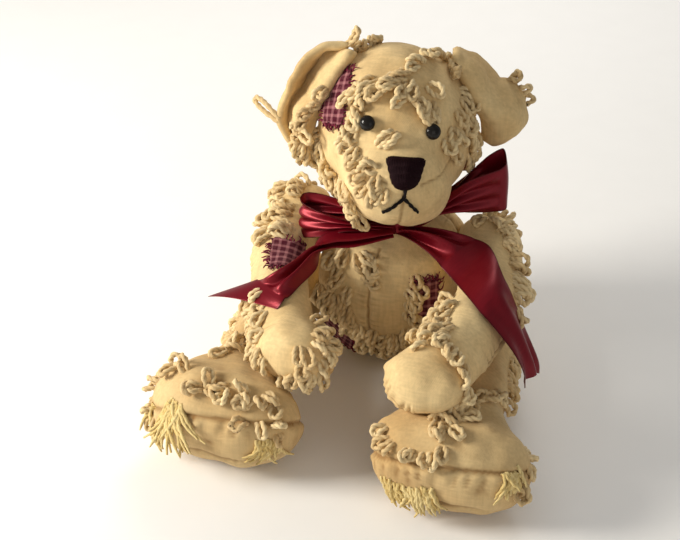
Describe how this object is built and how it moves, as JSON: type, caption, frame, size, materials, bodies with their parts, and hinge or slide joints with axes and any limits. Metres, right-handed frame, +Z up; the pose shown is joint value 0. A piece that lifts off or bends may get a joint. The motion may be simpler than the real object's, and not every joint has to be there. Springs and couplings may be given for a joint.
{
  "type": "jointed teddy bear",
  "caption": "Seated stuffed cotton bear with disc-jointed head, arms and legs, looped yarn tufts, gingham patches and a satin neck bow.",
  "frame": {"origin": "middle of the seat where the torso rests, on the floor", "axes": "+Z up, the bear faces -Y, its left side is +X"},
  "size_m": [0.1485, 0.1455, 0.1342],
  "materials": {
    "cotton_fabric": "plain woven, matte",
    "stuffing": "loose fibre",
    "gingham": "woven check, matte",
    "cotton_yarn": "twisted two-ply, matte",
    "satin_ribbon": "satin",
    "nose_thread": "stranded embroidery thread",
    "eye_plastic": "gloss",
    "joint_plastic": "moulded"
  },
  "bodies": {
    "torso": {"hip_left_torso_disc": "joint_plastic", "hip_right_torso_disc": "joint_plastic", "neck_torso_disc": "joint_plastic", "ribbon_band": "satin_ribbon", "ribbon_knot": "satin_ribbon", "ribbon_loop_left": "satin_ribbon", "ribbon_loop_right": "satin_ribbon", "ribbon_tail_left": "satin_ribbon", "ribbon_tail_right": "satin_ribbon", "shoulder_left_torso_disc": "joint_plastic", "shoulder_right_torso_disc": "joint_plastic", "torso_patch_belly": "gingham", "torso_patch_side": "gingham", "torso_shell": "cotton_fabric", "torso_stuffing": "stuffing", "torso_yarn": "cotton_yarn"},
    "head": {"ear_left": "cotton_fabric", "ear_right": "cotton_fabric", "eye_left": "eye_plastic", "eye_right": "eye_plastic", "eye_washers": "joint_plastic", "head_patch": "gingham", "head_shell": "cotton_fabric", "head_stuffing": "stuffing", "head_yarn": "cotton_yarn", "mouth": "nose_thread", "neck_lock_washer": "joint_plastic", "neck_stem_disc": "joint_plastic", "nose": "nose_thread"},
    "arm_left": {"arm_left_shell": "cotton_fabric", "arm_left_stuffing": "stuffing", "arm_left_yarn": "cotton_yarn", "shoulder_left_lock_washer": "joint_plastic", "shoulder_left_stem_disc": "joint_plastic"},
    "arm_right": {"arm_right_patch": "gingham", "arm_right_shell": "cotton_fabric", "arm_right_stuffing": "stuffing", "arm_right_yarn": "cotton_yarn", "shoulder_right_lock_washer": "joint_plastic", "shoulder_right_stem_disc": "joint_plastic"},
    "leg_left": {"hip_left_lock_washer": "joint_plastic", "hip_left_stem_disc": "joint_plastic", "leg_left_shell": "cotton_fabric", "leg_left_sole": "cotton_fabric", "leg_left_stuffing": "stuffing", "leg_left_yarn": "cotton_yarn"},
    "leg_right": {"hip_right_lock_washer": "joint_plastic", "hip_right_stem_disc": "joint_plastic", "leg_right_shell": "cotton_fabric", "leg_right_sole": "cotton_fabric", "leg_right_stuffing": "stuffing", "leg_right_yarn": "cotton_yarn"}
  },
  "joints": [
    {"name": "neck", "type": "hinge", "parent": "torso", "child": "head", "pos_m": [-0.0025, 0.0083, 0.0704], "axis": [0.035, 0.156, 0.9871], "range_deg": [-70, 70], "deforming": ["ribbon_loop_left", "ribbon_loop_right"]},
    {"name": "shoulder_left", "type": "hinge", "parent": "torso", "child": "arm_left", "pos_m": [0.0285, 0.004, 0.052], "axis": [-0.9654, 0.2201, -0.1401], "range_deg": [0, 50], "deforming": ["ribbon_tail_left"]},
    {"name": "shoulder_right", "type": "hinge", "parent": "torso", "child": "arm_right", "pos_m": [-0.0285, 0.004, 0.052], "axis": [-0.9654, -0.2201, 0.1401], "range_deg": [0, 45], "deforming": ["ribbon_tail_right"]},
    {"name": "hip_left", "type": "hinge", "parent": "torso", "child": "leg_left", "pos_m": [0.0283, 0.001, 0.02], "axis": [0.995, 0, -0.1], "range_deg": [0, 90]},
    {"name": "hip_right", "type": "hinge", "parent": "torso", "child": "leg_right", "pos_m": [-0.0283, 0.001, 0.02], "axis": [0.995, 0, 0.1], "range_deg": [0, 90]}
  ]
}
